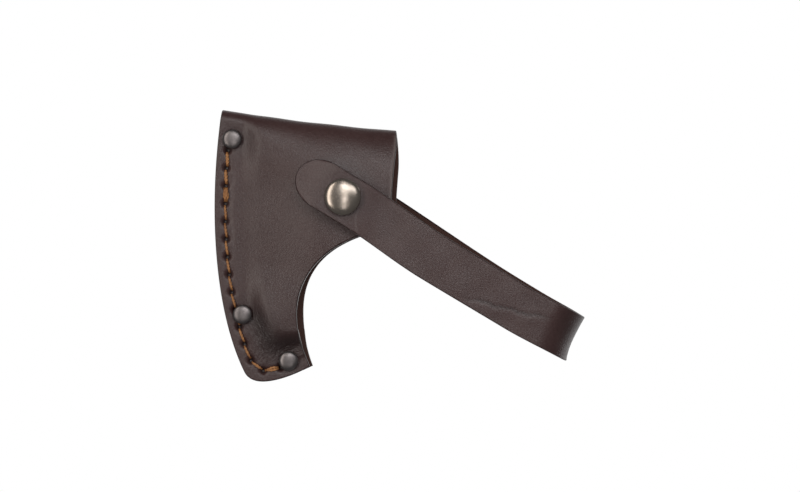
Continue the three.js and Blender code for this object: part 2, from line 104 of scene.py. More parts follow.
def travelled(points):
    """Length along a line of points, from its first to each."""
    steps = np.linalg.norm(np.diff(points, axis=0), axis=1)
    return np.concatenate([[0], np.cumsum(steps)])


def at_length(points, lengths):
    """The points that lie at the given lengths along a line, by straight interpolation."""
    along = travelled(points)
    return np.stack([np.interp(lengths, along, column) for column in points.T], axis=-1)


def at_shares(points, shares):
    """The same, at shares of the line's whole length."""
    return at_length(points, np.asarray(shares) * travelled(points)[-1])


edge_line = np.concatenate([bezier(curve)[:-1] for curve in edge_curves] + [[edge_curves[-1][-1]]])
edge_length = travelled(edge_line)[-1]
edge_spots = at_length(edge_line, np.arange(0.25, edge_length, 0.5))


def beside(x, z):
    """Smooth distance from the stitched edge, and smooth length along it. The sum over the edge of its
    length / distance^6 has a -1/5 power that is the plain distance beside a straight edge and rounds off
    the corner line inside a bend. The same weights average the length along the edge."""
    total, along = np.zeros((2, *np.broadcast(x, z).shape))
    for place, (spot_x, spot_z) in zip(np.arange(0.25, edge_length, 0.5), edge_spots):
        weight = 0.5 / np.maximum((x - spot_x) ** 2 + (z - spot_z) ** 2, 0.04) ** 3
        total += weight
        along += weight * place
    return (total / (3 * math.pi / 8)) ** -0.2, along / total


def inward(x, z):
    """The first of those two."""
    return beside(x, z)[0]


def fold_top(x):
    """Height of the fold's top: a straight fall to the mouth, less a half sine for its sag."""
    t = np.clip((x - rear_x) / -rear_x, 0, 1)
    return fold_rear + (fold_mouth - fold_rear) * t - fold_sag * np.sin(math.pi * t)


def raw_half(x, z):
    """Half the cover's thickness: the seam's, plus a short step inside the band and a long rise to the
    cheeks."""
    past = inward(x, z) - seam_band
    step = plain_step + (top_step - plain_step) * smoothstep(z, -6, 14) * smoothstep(-z, -27, -18)
    step = step + (toe_step - plain_step) * smoothstep(-z, 34, 58)
    rise = step * smoothstep(past, 0, step_run)
    return seam_half + rise + (mouth_half - seam_half - step) * smoothstep(past, 0, cheek_run)


def fold_section(x):
    """Half width, height and shoulder of the fold's half ellipse at x. It is round at the rear and taller
    at the mouth."""
    half = np.minimum(raw_half(x, fold_top(x) - mouth_half), mouth_half)
    height = half * (1 + (fold_ratio - 1) * smoothstep(x, -70, -25))
    return half, height, fold_top(x) - height


def half_thickness(x, z):
    """The same half, eased into the fold's half width over the 12 mm below the fold's shoulder."""
    half, _, shoulder = fold_section(x)
    away = smoothstep(shoulder - z, 0, 12)
    return np.minimum(half + (raw_half(x, z) - half) * away, mouth_half)


def unrolled(points):
    """Outline points with their heights measured along the leather: the arc over the fold is laid out
    flat."""
    x, z = points.T
    half, height, shoulder = fold_section(x)
    over = np.arcsin(np.clip((z - shoulder) / height, 0, 1)) * (half + height) / 2
    return np.stack([x, np.where(z > shoulder, shoulder + over, z)], axis=-1)


def rolled(flat, side):
    """Flat leather back on the cover: up to the shoulder at the panel's half thickness, above it round the
    fold. The last value is each point's place from front, 0, to back, 1."""
    x, reach = flat[..., 0], flat[..., 1]
    half, height, shoulder = fold_section(x)
    turn = np.clip((reach - shoulder) / ((half + height) / 2), 0, math.pi / 2)
    y = np.where(turn > 0, half * np.cos(turn), half_thickness(x, reach))
    z = np.where(turn > 0, shoulder + height * np.sin(turn), reach)
    return np.stack([x, side * y, z], axis=-1), (1 + side * np.cos(turn)) / 2


def patch(left, right, bottom, top, u, v):
    """Coons patch: the two ruled surfaces between opposite sides, less the bilinear one between the
    corners."""
    u, v = u[None, :, None], v[:, None, None]
    left, right, bottom, top = left[:, None], right[:, None], bottom[None], top[None]
    corners = (1 - u) * ((1 - v) * left[:1] + v * left[-1:]) + u * ((1 - v) * right[:1] + v * right[-1:])
    return (1 - u) * left + u * right + (1 - v) * bottom + v * top - corners


def panel_grid(side):
    """One panel, from the toe up to the fold's top, as rows of points from the stitched edge to the free
    edge. Its second value is each point's place from front, 0, to back, 1."""
    dense, wide, rows = 30, 58, 226
    u = np.concatenate([np.linspace(0, 0.19, dense, endpoint=False), np.linspace(0.19, 1, wide)])
    v = np.linspace(0, 1, rows)
    to_toe = np.concatenate([bezier(curve, 900)[:-1] for curve in edge_curves[:2]] + [[edge_curves[2][0]]])
    free = np.concatenate([bezier(curve, 900)[:-1] for curve in free_curves] + [[free_curves[-1][-1]]])
    left = at_shares(unrolled(to_toe[::-1]), v)
    right = at_shares(unrolled(free), v)
    bottom = at_shares(unrolled(bezier(edge_curves[2], 900)), u)
    top_x = rear_x + (mouth_x - rear_x) * u
    top = unrolled(np.stack([top_x, fold_top(top_x)], axis=-1))
    spots, backness = rolled(patch(left, right, bottom, top, u, v), side)
    z = spots[..., 2]
    lead = least_lead + mouth_lead * smoothstep(-z, -26, -4) * smoothstep(z, -30, -10)
    lead = lead + beard_lead * np.exp(-((z + 57) / 14) ** 2 / 2)
    spots[..., 0] += lead * backness * u[None] ** 2
    return spots, backness


def normals_of(grid):
    """Unit normals of a grid of points: the cross product of its two directions."""
    cross = np.cross(np.gradient(grid, axis=1), np.gradient(grid, axis=0))
    return cross / np.linalg.norm(cross, axis=-1, keepdims=True)


def rim_of(grid):
    """A grid's outer row and column of entries as one closed line, first row forwards."""
    return np.concatenate([grid[0, :-1], grid[:-1, -1], grid[-1, :0:-1], grid[:0:-1, 0]])


def drawn_in(face, out, rounding):
    """How far each point of a face moves in from the rim, where out holds the rim's outward directions:
    rounding on the rim itself, falling evenly to nothing three roundings away. Near a corner two sides are
    averaged."""
    total, weight = 0, 0
    for line in (np.s_[:1], np.s_[-1:], np.s_[:, :1], np.s_[:, -1:]):
        away = np.linalg.norm(face - face[line], axis=-1, keepdims=True)
        share = np.clip(1 - away / (3 * rounding), 0, 1)
        total = total + share * out[line]
        weight = weight + share
    return rounding * total / np.maximum(weight, 1)


def sheet_of_leather(name, face, details, thickness, marks, rounding=0.55, normal=None):
    """A closed sheet from its grain face. The flesh face lies one thickness along the normal inwards, and
    the cut edge goes from one to the other round two quarter circles. details lift the grain face only.
    Each mark is an array of values for the face, and layer is 0 on the grain, 1 on the flesh and between
    them on the cut."""
    normal = normals_of(face) if normal is None else normal
    rows, columns = face.shape[:2]
    number = np.arange(rows * columns).reshape(rows, columns)
    rim = rim_of(number)
    points, around = face.reshape(-1, 3), normal.reshape(-1, 3)[rim]
    forward = np.roll(points[rim], -1, axis=0) - np.roll(points[rim], 1, axis=0)
    outward = np.cross(forward, around)
    outward /= np.linalg.norm(outward, axis=1, keepdims=True)
    edge = points[rim]
    out = np.zeros_like(points)
    out[rim] = outward
    moved = drawn_in(face, out.reshape(face.shape), rounding).reshape(-1, 3)
    moved[rim] = outward * rounding
    grain = points - moved + normal.reshape(-1, 3) * details.reshape(-1, 1)
    flesh = points - moved - normal.reshape(-1, 3) * thickness
    angles = np.radians([22.5, 45, 67.5, 90])
    turns = [(rounding * (1 - math.sin(a)), rounding * (1 - math.cos(a))) for a in angles]
    turns += [(inset, thickness - depth) for inset, depth in turns[::-1]]
    bands = [edge - outward * inset - around * depth for inset, depth in turns]
    shares = [depth / thickness for _, depth in turns]
    rims = [rim] + [2 * rows * columns + k * len(rim) + np.arange(len(rim)) for k in range(len(bands))]
    rims.append(rim + rows * columns)
    corners = [number[:-1, :-1], number[:-1, 1:], number[1:, 1:], number[1:, :-1]]
    quads = np.stack(corners, axis=-1).reshape(-1, 4)
    sides = [np.stack([a, b, np.roll(b, -1), np.roll(a, -1)], axis=-1) for a, b in zip(rims, rims[1:])]
    faces = np.concatenate([quads, quads[:, ::-1] + rows * columns, *sides])
    layer = np.concatenate([np.zeros(rows * columns), np.ones(rows * columns)] +
                           [np.full(len(rim), share) for share in shares])
    carried = {"layer": layer}
    for mark, values in marks.items():
        values = values.reshape(-1)
        rest = [values[rim] * (1 - share) for share in shares]
        carried[mark] = np.concatenate([values, np.zeros(rows * columns), *rest])
    return skin(name, np.concatenate([grain, flesh, *bands]) * MM, faces.tolist(), carried)


def skin(name, points, faces, marks=None):
    """A smooth mesh object from points in metres and faces, with named values on its points and their
    places at rest, which the leather's grain follows when the leather bends."""
    mesh = bpy.data.meshes.new(name)
    mesh.from_pydata(points.tolist(), [], faces)
    for mark, values in (marks or {}).items():
        mesh.attributes.new(mark, "FLOAT", "POINT").data.foreach_set("value", values.astype(np.float32))
    place = mesh.attributes.new("rest_place", "FLOAT_VECTOR", "POINT")
    place.data.foreach_set("vector", points.astype(np.float32).ravel())
    mesh.polygons.foreach_set("use_smooth", np.ones(len(mesh.polygons), bool))
    mesh.update()
    piece = bpy.data.objects.new(name, mesh)
    bpy.context.scene.collection.objects.link(piece)
    return piece


# Places along the stitched edge that the seam, the rivets and the creases share.
stitch_inset, first_hole, last_hole, stitch_pitch = 4.5, 16.5, 10.7, 7.3


def seam_line():
    """The line that the stitches follow: the edge moved in by the inset, without the loop at a tight bend."""
    spots = at_length(edge_line, np.arange(0, edge_length, 0.4))
    tangents = np.gradient(spots, axis=0)
    tangents /= np.linalg.norm(tangents, axis=1, keepdims=True)
    line = spots + stitch_inset * np.stack([-tangents[:, 1], tangents[:, 0]], axis=-1)
    nearest = np.linalg.norm(line[:, None] - edge_line[None], axis=-1).min(axis=1)
    return line[nearest > stitch_inset - 0.1]


def middle_of(node):
    """The middle of a node's box, in x and z."""
    low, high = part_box(node)
    return np.array([low.x + high.x, low.z + high.z]) / 2 / MM


seam = seam_line()
seam_run = travelled(seam)[-1] - first_hole - last_hole
stitch_count = round(seam_run / stitch_pitch)
holes = at_length(seam, first_hole + seam_run * np.arange(stitch_count + 1) / stitch_count)
rivet_spots = {place: middle_of(f"{place}_rivet_cap") for place in ("top", "middle", "toe")}


def near_spots(x, z, spots, width):
    """A bell round each spot: the largest of exp(-distance^2 / (2 width^2))."""
    bells = [np.exp(-((x - sx) ** 2 + (z - sz) ** 2) / (2 * width * width)) for sx, sz in spots]
    return np.max(bells, axis=0)


def body_details(face, backness):
    """Height of the grain face over the plain form: holes pulled in, leather pressed round the rivets, a
    creased line beside the stitches and a slight unevenness. Its marks are the dark places, which are painted
    shade in the stitch holes, round the rivets, beside the middle rivet and on the slopes near the toe and the
    top; the pale places, which are a painted highlight along the front panel's mouth edge and a paler line
    along the crease; and where the toe wrinkles, with the distances in from the edge and along it that the
    wrinkles follow."""
    hole_pull, channel_depth, rivet_press, crease_depth = 1.5, 0.16, 0.55, 0.08
    hole_reach, rivet_reach, crease_inset = 0.95, 3.1, 7.4
    x, z = face[..., 0], face[..., 2]
    depth_in, run = beside(x, z)
    pulled = near_spots(x, z, holes, hole_reach)
    channel = np.exp(-((depth_in - stitch_inset) / 1.0) ** 2 / 2) * smoothstep(-z, -16, -12)
    rivets = list(rivet_spots.values())
    pressed = near_spots(x, z, rivets, rivet_reach)
    wander = 0.35 * np.sin(0.21 * z + 1.0) + 0.2 * np.sin(0.53 * z)
    crease = np.exp(-((depth_in - crease_inset - wander) / 0.5) ** 2 / 2)
    crease = crease * smoothstep(z, -36, -22) * smoothstep(-z, -8, 2)
    toe = smoothstep(-z, 50, 60) * smoothstep(depth_in, 4.6, 6.5) * smoothstep(-depth_in, -17, -10)
    uneven = 0.12 * np.sin(0.19 * x + 0.11 * z + 1.3) * np.sin(0.13 * z - 0.07 * x)
    uneven = uneven + 0.05 * np.sin(0.37 * z + 0.29 * x)
    height = -hole_pull * pulled - channel_depth * channel - rivet_press * pressed - crease_depth * crease
    height = height + uneven * smoothstep(depth_in, 8, 20)
    # Painted shade on the slope from the seam band up to the bulge, strongest near the toe and weaker near the
    # top, and a spot of painted shade beside the middle rivet.
    slope = np.exp(-((depth_in - 13.5) / 3.4) ** 2 / 2)
    shaded = slope * (0.85 * smoothstep(-z, 44, 60) + 0.22 * smoothstep(z, 4, 14) * smoothstep(-z, -24, -18))
    painted_rivet_side_shade = 0.35 * near_spots(x, z, [rivet_spots["middle"] + np.array([5.5, 5.5])], 4.0)
    # The dark mark is painted shade: in and round each stitch hole, in a ring round each rivet, on the slopes
    # and beside the middle rivet.
    dark = smoothstep(pulled, 0.28, 0.72) + 0.45 * near_spots(x, z, rivets, 3.6)
    dark = dark + np.maximum(shaded, painted_rivet_side_shade)
    # Painted highlight: a pale line on the grain face along the front panel's mouth edge. The pale mark also
    # holds a paler line along the crease.
    free = np.linalg.norm(face - face[:, -1:], axis=-1)
    burnished = np.exp(-(free / 0.55) ** 2 / 2) * smoothstep(z, -22, -12) * (backness < 0.3)
    marks = {"dark": np.clip(dark, 0, 1), "pale": np.where(backness < 0.5, 0.35 * crease, 0) + burnished}
    return height, marks | {"wrinkle": toe, "edge_in": depth_in, "edge_run": run}


(front_panel, front_backness), (back_panel, back_backness) = panel_grid(-1), panel_grid(1)
body_face = np.concatenate([front_panel, back_panel[-2::-1]])
body_height, body_marks = body_details(body_face, np.concatenate([front_backness, back_backness[-2::-1]]))
body = sheet_of_leather("sheath_leather", body_face, body_height, leather, body_marks)


class Signal:
    """A value on its way through a graph. Sums and products of signals add Math nodes."""

    def __init__(self, graph, socket):
        self.graph = graph
        self.socket = socket

    def maths(self, operation, first, second):
        return self.graph.node("ShaderNodeMath", {"operation": operation}, {0: first, 1: second})

    def __add__(self, other):
        return self.maths("ADD", self, other)

    def __radd__(self, other):
        return self.maths("ADD", other, self)

    def __sub__(self, other):
        return self.maths("SUBTRACT", self, other)

    def __rsub__(self, other):
        return self.maths("SUBTRACT", other, self)

    def __mul__(self, other):
        return self.maths("MULTIPLY", self, other)

    def __rmul__(self, other):
        return self.maths("MULTIPLY", other, self)


class Graph:
    """A tree of nodes being built up, one node() at a time."""

    def __init__(self, tree):
        self.tree = tree

    def node(self, kind, settings, inputs, output=0):
        """Adds a node: its settings first, ramp stops among them, then a value or a signal for each input."""
        added = self.tree.nodes.new(kind)
        for setting, value in settings.items():
            if setting == "stops":
                self.set_stops(added.color_ramp.elements, value)
            else:
                setattr(added, setting, value)
        for place, value in inputs.items():
            self.feed(added.inputs[place], value)
        return Signal(self, added.outputs[output]) if added.outputs else None

    def set_stops(self, elements, stops):
        while len(elements) < len(stops):
            elements.new(1.0)
        for element, (place, shade) in zip(elements, stops):
            element.position = place
            element.color = (shade, shade, shade, 1)

    def feed(self, socket, value):
        if isinstance(value, Signal):
            self.tree.links.new(value.socket, socket)
        elif socket.type == "RGBA":
            socket.default_value = (*value, 1)
        else:
            socket.default_value = value

    def ramp(self, value, *stops):
        return self.node("ShaderNodeValToRGB", {"stops": stops}, {"Fac": value})


class Finish(Graph):
    """One material being built up: shade() sets its shader's sockets."""

    def __init__(self, name):
        self.material = bpy.data.materials.new(name)
        self.material.use_nodes = True
        super().__init__(self.material.node_tree)
        self.shader = self.tree.nodes["Principled BSDF"]

    def shade(self, **sockets):
        for name, value in sockets.items():
            self.feed(self.shader.inputs[name.replace("_", " ")], value)

    def mark(self, name, output="Fac"):
        """A named value carried on the mesh's points."""
        return self.node("ShaderNodeAttribute", {"attribute_name": name}, {}, output)

    def place(self):
        """Where a point of the piece lay at rest."""
        return self.mark("rest_place", "Vector")

    def noise(self, place, scale, detail=3.0, roughness=0.5):
        inputs = {"Vector": place, "Scale": scale, "Detail": detail, "Roughness": roughness}
        return self.node("ShaderNodeTexNoise", {}, inputs)

    def cells(self, place, scale, feature="F1"):
        return self.node("ShaderNodeTexVoronoi", {"feature": feature}, {"Vector": place, "Scale": scale})

    def between(self, share, first, second):
        """A colour from first to second."""
        return self.node("ShaderNodeMix", {"data_type": "RGBA"}, {0: share, 6: first, 7: second}, 2)

    def bump(self, height, distance, strength=1.0, after=None):
        inputs = {"Height": height, "Distance": distance, "Strength": strength}
        if after is not None:
            inputs["Normal"] = after
        return self.node("ShaderNodeBump", {}, inputs)


def leather_finish(name, base, shadow, gloss, flesh=(0.050, 0.019, 0.013)):
    """Aniline-dyed leather. Grain side: fine cells and pores over soft mottling, semi-gloss. Flesh side:
    rough red brown fibres. Cut edge: burnished darker, a little glossier at its corners."""
    finish = Finish(name)
    place = finish.place()
    layer = finish.mark("layer")
    flesh_side = finish.ramp(layer, (0.86, 0.0), (0.97, 1.0))
    cut = finish.ramp(layer, (0.01, 0.0), (0.06, 1.0), (0.9, 1.0), (0.98, 0.0))
    mottling = finish.noise(place, 55.0, 4.0)
    speckle = finish.noise(place, 900.0, 2.0)
    fibres = finish.noise(place, 700.0, 6.0, 0.7)
    tone = finish.ramp(mottling * 0.55 + speckle * 0.45, (0.38, 0.0), (0.62, 1.0))
    grain_colour = finish.between(tone, shadow, base)
    # The pale mark makes the grain paler: a scratch, a paler crease line, and a painted highlight along the
    # body's mouth edge.
    wear_and_painted_highlight = finish.between(finish.mark("pale") * (0.4 + speckle * 0.4), grain_colour, (0.20, 0.16, 0.15))
    # The dark mark is painted shade: the colour goes almost black where it is set.
    grain_with_painted_shade = finish.between(finish.mark("dark") * 0.93, wear_and_painted_highlight, (0.009, 0.002, 0.002))
    cut_fibres = finish.between(fibres, (0.028, 0.011, 0.008), (0.085, 0.036, 0.026))
    corner = finish.ramp(layer, (0.03, 1.0), (0.30, 0.0))
    edge_colour = finish.between(corner, cut_fibres, (0.010, 0.004, 0.004))
    flesh_colour = finish.between(fibres, flesh, tuple(1.9 * part for part in flesh))
    colour = finish.between(cut, grain_with_painted_shade, edge_colour)
    colour = finish.between(flesh_side, colour, flesh_colour)
    pores = finish.cells(place, 2100.0)
    wrinkles = finish.cells(place, 900.0, "DISTANCE_TO_EDGE")
    pebbles = finish.noise(place, 1500.0, 2.0)
    furrows = finish.ramp(wrinkles, (0.0, 0.0), (0.14, 1.0))
    grain = furrows * 0.5 + pores * 0.35 + speckle * 0.8 + pebbles * 0.9
    smooth = 1 - cut * 0.7
    rough = gloss + (mottling - 0.5) * 0.10 + (speckle - 0.5) * 0.10 + cut * 0.06 + flesh_side * 0.40
    wander = finish.noise(place, 190.0, 2.0)
    across = finish.mark("edge_in") * 1.1 + wander * 2.6
    along = finish.mark("edge_run") * 0.30 + wander * 1.5
    streaks = finish.node("ShaderNodeCombineXYZ", {}, {0: across, 1: along})
    folds = finish.noise(streaks, 1.0, 3.5, 0.62) * finish.mark("wrinkle")
    fold_bump = finish.bump(folds, 0.0008, 0.8)
    grain_bump = finish.bump(grain * smooth * (1 - flesh_side), 0.000055, 0.9, fold_bump)
    fibre_bump = finish.bump(fibres * (flesh_side * 1.4 + cut * 0.35), 0.00035, 0.8, grain_bump)
    finish.shade(Base_Color=colour, Roughness=rough, Normal=fibre_bump, Specular_IOR_Level=0.6)
    return finish.material


body.data.materials.append(
    leather_finish("body_leather", base=(0.064, 0.030, 0.028), shadow=(0.046, 0.018, 0.017), gloss=0.37))
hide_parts("sheath_body")
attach(body, "sheath")

# ---- Welt ----
# A strip of dark, edge-burnished leather between the panels along the cutting edge. It keeps the edge off the
# thread, and fills the seam from just under the fold to the heel corner.

welt_top, welt_width, welt_half = 5.8, 10.5, 1.72


def welt_face():
    """Rows along the edge, columns inwards: the edge's point plus a share of the width along its normal,
    which is averaged over the neighbouring 12 mm so that the rows don't cross inside the toe."""
    along = np.linspace(edge_length - 0.4, welt_top, 260)
    spots = at_length(edge_line, along)
    tangents = -np.gradient(spots, axis=0)
    tangents /= np.linalg.norm(tangents, axis=1, keepdims=True)
    window = np.exp(-((along[:, None] - along[None]) / 5.0) ** 2 / 2)
    smooth = window @ tangents
    smooth /= np.linalg.norm(smooth, axis=1, keepdims=True)
    inwards = np.stack([-smooth[:, 1], smooth[:, 0]], axis=-1)
    share = np.linspace(0, 1, 14)[None, :, None]
    flat = spots[:, None] + inwards[:, None] * welt_width * share
    return np.stack([flat[..., 0], np.full(flat.shape[:2], -welt_half), flat[..., 1]], axis=-1)


face = welt_face()
plain = np.zeros(face.shape[:2])
welt = sheet_of_leather("welt_strip", face, plain, 2 * welt_half, {"dark": plain, "pale": plain}, 0.3)
welt.data.materials.append(
    leather_finish("welt_leather", base=(0.050, 0.022, 0.016), shadow=(0.032, 0.013, 0.010), gloss=0.55))
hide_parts("welt")
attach(welt, "sheath")

# ---- Seam: needle thread in front, bobbin thread behind ----
# Waxed tan linen thread of two plies, lock-stitched through all three layers. Each stitch comes up out of one
# hole, lies over the leather and dives into the next. The third in front is slack, and the last is doubled.

thread_half_width, thread_half_height = 0.68, 0.48
ply_turn = 3.4  # length along the thread of one full twist
loose_strands = [  # width, lift, lean and bow of the third stitch's strands
    (0.62, 0.50, 0.30, 1.05),
    (0.70, 0.75, -0.15, 0.30),
    (0.58, 0.60, 0.10, -0.55),
    (0.40, 1.00, -0.60, 0.65),
    (0.34, 0.95, 0.75, -0.10),
]


def stitch(start, end, side, width=1.0, lift=0.30, lean=0.0, bow=0.0):
    """Rings of points for one stitch. Its middle line goes from hole to hole with a flat hump, 1 - |2t -
    1|^6. The section is an ellipse with two lobes that turn with the twist, and thins towards both
    holes."""
    rings, sides = 34, 14
    t = np.linspace(0, 1, rings)
    run = end - start
    length = np.linalg.norm(run)
    across = np.array([-run[1], run[0]]) / length
    sway = lean * (2 * t - 1) + bow * np.sin(math.pi * t)
    middle = start + run * (0.09 + 0.82 * t)[:, None] + across * sway[:, None]
    hump = 1 - np.abs(2 * t - 1) ** 6
    height = seam_half - 1.3 + (1.3 + lift) * hump
    angle = np.linspace(0, 2 * math.pi, sides, endpoint=False)
    twist = 2 * math.pi * t * length / ply_turn
    lobes = 1 + 0.20 * np.cos(2 * (angle[None] - twist[:, None]))
    taper = (0.5 + 0.5 * np.abs(np.sin(math.pi * t)) ** 0.7)[:, None]
    wide = width * thread_half_width * lobes * taper * np.cos(angle)[None]
    tall = width * thread_half_height * lobes * taper * np.sin(angle)[None]
    flat = middle[:, None] + across * wide[..., None]
    y = side * (height[:, None] + tall)
    return np.stack([flat[..., 0], y, flat[..., 1]], axis=-1)


def tubes(name, runs, marks=None):
    """One mesh of closed tubes: each run of rings, with a fan over each end."""
    points, faces, first = [], [], 0
    for rings in runs:
        count, sides = rings.shape[:2]
        number = first + np.arange(count * sides).reshape(count, sides)
        turned = np.roll(number, -1, axis=1)
        quads = np.stack([number[:-1], turned[:-1], turned[1:], number[1:]], axis=-1).reshape(-1, 4)
        faces += quads.tolist()
        ends = first + count * sides
        faces += [[ends, b, a] for a, b in zip(number[0], turned[0])]
        faces += [[ends + 1, a, b] for a, b in zip(number[-1], turned[-1])]
        points += [rings.reshape(-1, 3), rings[0].mean(0)[None], rings[-1].mean(0)[None]]
        first = ends + 2
    made = skin(name, np.concatenate(points) * MM, faces, marks)
    face_outwards(made)
    return made


def face_outwards(piece):
    """Turns every shell of a piece so that its faces point outwards."""
    work = bmesh.new()
    work.from_mesh(piece.data)
    bmesh.ops.recalc_face_normals(work, faces=work.faces)
    work.to_mesh(piece.data)
    work.free()


def seam_thread(side):
    """All stitches of one face. In front the third is slack strands, and on both faces the last is
    doubled."""
    dice = np.random.default_rng(7 if side < 0 else 11)
    runs = []
    for index, (start, end) in enumerate(zip(holes, holes[1:])):
        lean = 0.22 + 0.12 * dice.random()
        bow = 0.25 * (dice.random() - 0.5)
        loose = side < 0 and index == 2
        doubled = index >= stitch_count - 1
        if loose:
            for width, lift, tilt, bulge in loose_strands:
                runs.append(stitch(start, end, side, width, lift, tilt, bulge))
        elif doubled:
            runs.append(stitch(start, end, side, 0.72, 0.42, lean, 0.55))
            runs.append(stitch(start, end, side, 0.66, 0.30, -lean, -0.40))
        else:
            width = 1.0 if index < 3 else 0.74
            runs.append(stitch(start, end, side, width, 0.30, lean, bow))
    return runs


def thread_finish():
    """Waxed linen: tan orange plies with darker furrows, fine fibres along them and a soft waxy gloss."""
    finish = Finish("waxed_thread")
    place = finish.place()
    fibres = finish.noise(place, 2600.0, 4.0, 0.65)
    dirt = finish.noise(place, 260.0, 2.0)
    warm = finish.between(fibres, (0.30, 0.115, 0.035), (0.62, 0.30, 0.11))
    colour = finish.between(finish.ramp(dirt, (0.45, 0.0), (0.7, 0.55)), warm, (0.16, 0.055, 0.02))
    bump = finish.bump(fibres, 0.00015, 0.8)
    finish.shade(Base_Color=colour, Roughness=0.55 + (fibres - 0.5) * 0.2, Normal=bump)
    return finish.material


waxed_thread = thread_finish()
seam_threads = (("needle_stitches", "needle_thread", -1), ("bobbin_stitches", "bobbin_thread", 1))
for thread_name, node, side in seam_threads:
    thread = tubes(thread_name, seam_thread(side))
    thread.data.materials.append(waxed_thread)
    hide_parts(node)
    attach(thread, "sheath")

# ---- Edge rivets ----
# Three double-cap rivets of antique nickel, 8 mm across, hammered together through the seam at the top,
# above the toe and at the heel corner. Each shaft comes through from the back and is gripped in its front
# cap.


def rounded(profile, radius):
    """A profile with each inner corner replaced by a quadratic curve that starts and ends a radius away, or
    less on a short side."""
    points = [np.array(p, float) for p in profile]
    line = [points[0]]
    for before, corner, after in zip(points, points[1:], points[2:]):
        back, ahead = before - corner, after - corner
        reach = min(radius, 0.45 * np.linalg.norm(back), 0.45 * np.linalg.norm(ahead))
        a = corner + back / np.linalg.norm(back) * reach
        b = corner + ahead / np.linalg.norm(ahead) * reach
        for t in np.linspace(0, 1, 5):
            line.append((1 - t) ** 2 * a + 2 * t * (1 - t) * corner + t * t * b)
    return np.array(line + [points[-1]])


def turned(name, profile, spot, closed=False, sides=72):
    """A turned piece: a profile of radius and y, carried round the line along Y through spot. A profile that
    starts and ends on that line gets a single point there, and a closed one joins its end to its start."""
    profile = np.array(profile, float)
    angle = np.linspace(0, 2 * math.pi, sides, endpoint=False)
    ring = profile if closed else profile[1:-1]
    x = spot[0] + ring[:, :1] * np.cos(angle)[None]
    z = spot[1] + ring[:, :1] * np.sin(angle)[None]
    y = np.repeat(ring[:, 1:], sides, axis=1)
    points = np.stack([x, y, z], axis=-1)
    number = np.arange(len(ring) * sides).reshape(len(ring), sides)
    step = np.roll(number, -1, axis=1)
    below, above = (number, np.roll(number, -1, axis=0)) if closed else (number[:-1], number[1:])
    step_below, step_above = (step, np.roll(step, -1, axis=0)) if closed else (step[:-1], step[1:])
    faces = np.stack([below, step_below, step_above, above], axis=-1).reshape(-1, 4).tolist()
    points = points.reshape(-1, 3)
    if not closed:
        poles = [[spot[0], profile[0, 1], spot[1]], [spot[0], profile[-1, 1], spot[1]]]
        points = np.concatenate([points, poles])
        faces += [[len(points) - 2, b, a] for a, b in zip(number[0], step[0])]
        faces += [[len(points) - 1, a, b] for a, b in zip(number[-1], step[-1])]
    made = skin(name, points * MM, faces)
    face_outwards(made)
    return made


def domed(radius, flat_y, top_y, rim, power=2.0, steps=24):
    """The profile of a cap's outside, from the edge of its flat side to its top: a short rounded rim, then a
    dome that falls from the top with a power of the distance from the axis, a higher one being flatter."""
    side = math.copysign(1, top_y - flat_y)
    rise = abs(top_y - flat_y)
    angle = np.linspace(0, math.pi / 2, steps)
    reach = radius * np.cos(angle)
    lift = (1 - np.cos(angle) ** power) ** (1 / power)
    arc = np.stack([reach, flat_y + side * (rim + (rise - rim) * lift)], axis=-1)
    foot = [[radius - 0.35 * rim, flat_y], [radius - 0.08 * rim, flat_y + side * 0.35 * rim]]
    arc[-1, 0] = 0
    return np.concatenate([foot, arc])


def metal_finish(name, dark, light, gloss, wear):
    """Plated metal, darkened chemically and rubbed bright in clouded patches: clouded colour, fine turning and
    handling scratches, and roughness that follows the clouds."""
    finish = Finish(name)
    place = finish.place()
    clouds = finish.noise(place, 420.0, 5.0, 0.6)
    specks = finish.noise(place, 3200.0, 2.0)
    stretch = {"Vector": place, "Rotation": (0, 0.5, 0), "Scale": (1, 1, 9)}
    stretched = finish.node("ShaderNodeMapping", {}, stretch)
    scratches = finish.noise(stretched, 900.0, 3.0, 0.7)
    rubbed = finish.ramp(clouds + (specks - 0.5) * 0.25, (0.5 - wear, 0.0), (0.5 + wear, 1.0))
    colour = finish.between(rubbed, dark, light)
    rough = gloss + (1 - rubbed) * 0.12 + (scratches - 0.5) * 0.10
    bump = finish.bump(scratches * 0.6 + specks * 0.4, 0.00002, 0.6)
    finish.shade(Base_Color=colour, Roughness=rough, Metallic=1.0, Normal=bump)
    return finish.material


def span_of(node):
    """A node's front and back, in y."""
    low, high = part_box(node)
    return low.y / MM, high.y / MM


def round_piece(name, node, profile, finish, body_name, closed=False):
    piece = turned(name, profile, middle_of(node), closed)
    piece.data.materials.append(finish)
    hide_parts(node)
    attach(piece, body_name)
    return piece


antique_nickel = metal_finish("antique_nickel", (0.125, 0.112, 0.115), (0.225, 0.205, 0.20), 0.30, 0.30)
rivet_cap_radius, shaft_radius, grip_depth = 4.0, 1.4, 1.1
cap_bore = shaft_radius + 0.1
rivet_rim, rivet_crown = 0.7, 2.4  # height of a cap's rim, and the power that shapes its dome
for place in rivet_spots:
    front, seat = span_of(f"{place}_rivet_cap")
    cap = [[0, seat - grip_depth], [cap_bore, seat - grip_depth], [cap_bore, seat]]
    cap = np.concatenate([cap, domed(rivet_cap_radius, seat, front, rivet_rim, rivet_crown)])
    round_piece(f"{place}_cap", f"{place}_rivet_cap", cap, antique_nickel, "sheath")
    shaft_end, back = span_of(f"{place}_rivet_post")
    head_seat = back - (seat - front)
    post = [[0, shaft_end], [shaft_radius, shaft_end], [shaft_radius, head_seat]]
    post = np.concatenate([rounded(post + [[2, head_seat]], 0.2)[:-1],
                           domed(rivet_cap_radius, head_seat, back, rivet_rim, rivet_crown)])
    round_piece(f"{place}_post", f"{place}_rivet_post", post, antique_nickel, "sheath")

# ---- Press stud's male half ----
# The stud sits on the front panel under the strap, over a post whose flat head lies inside the pocket and
# whose end reaches into the stud.

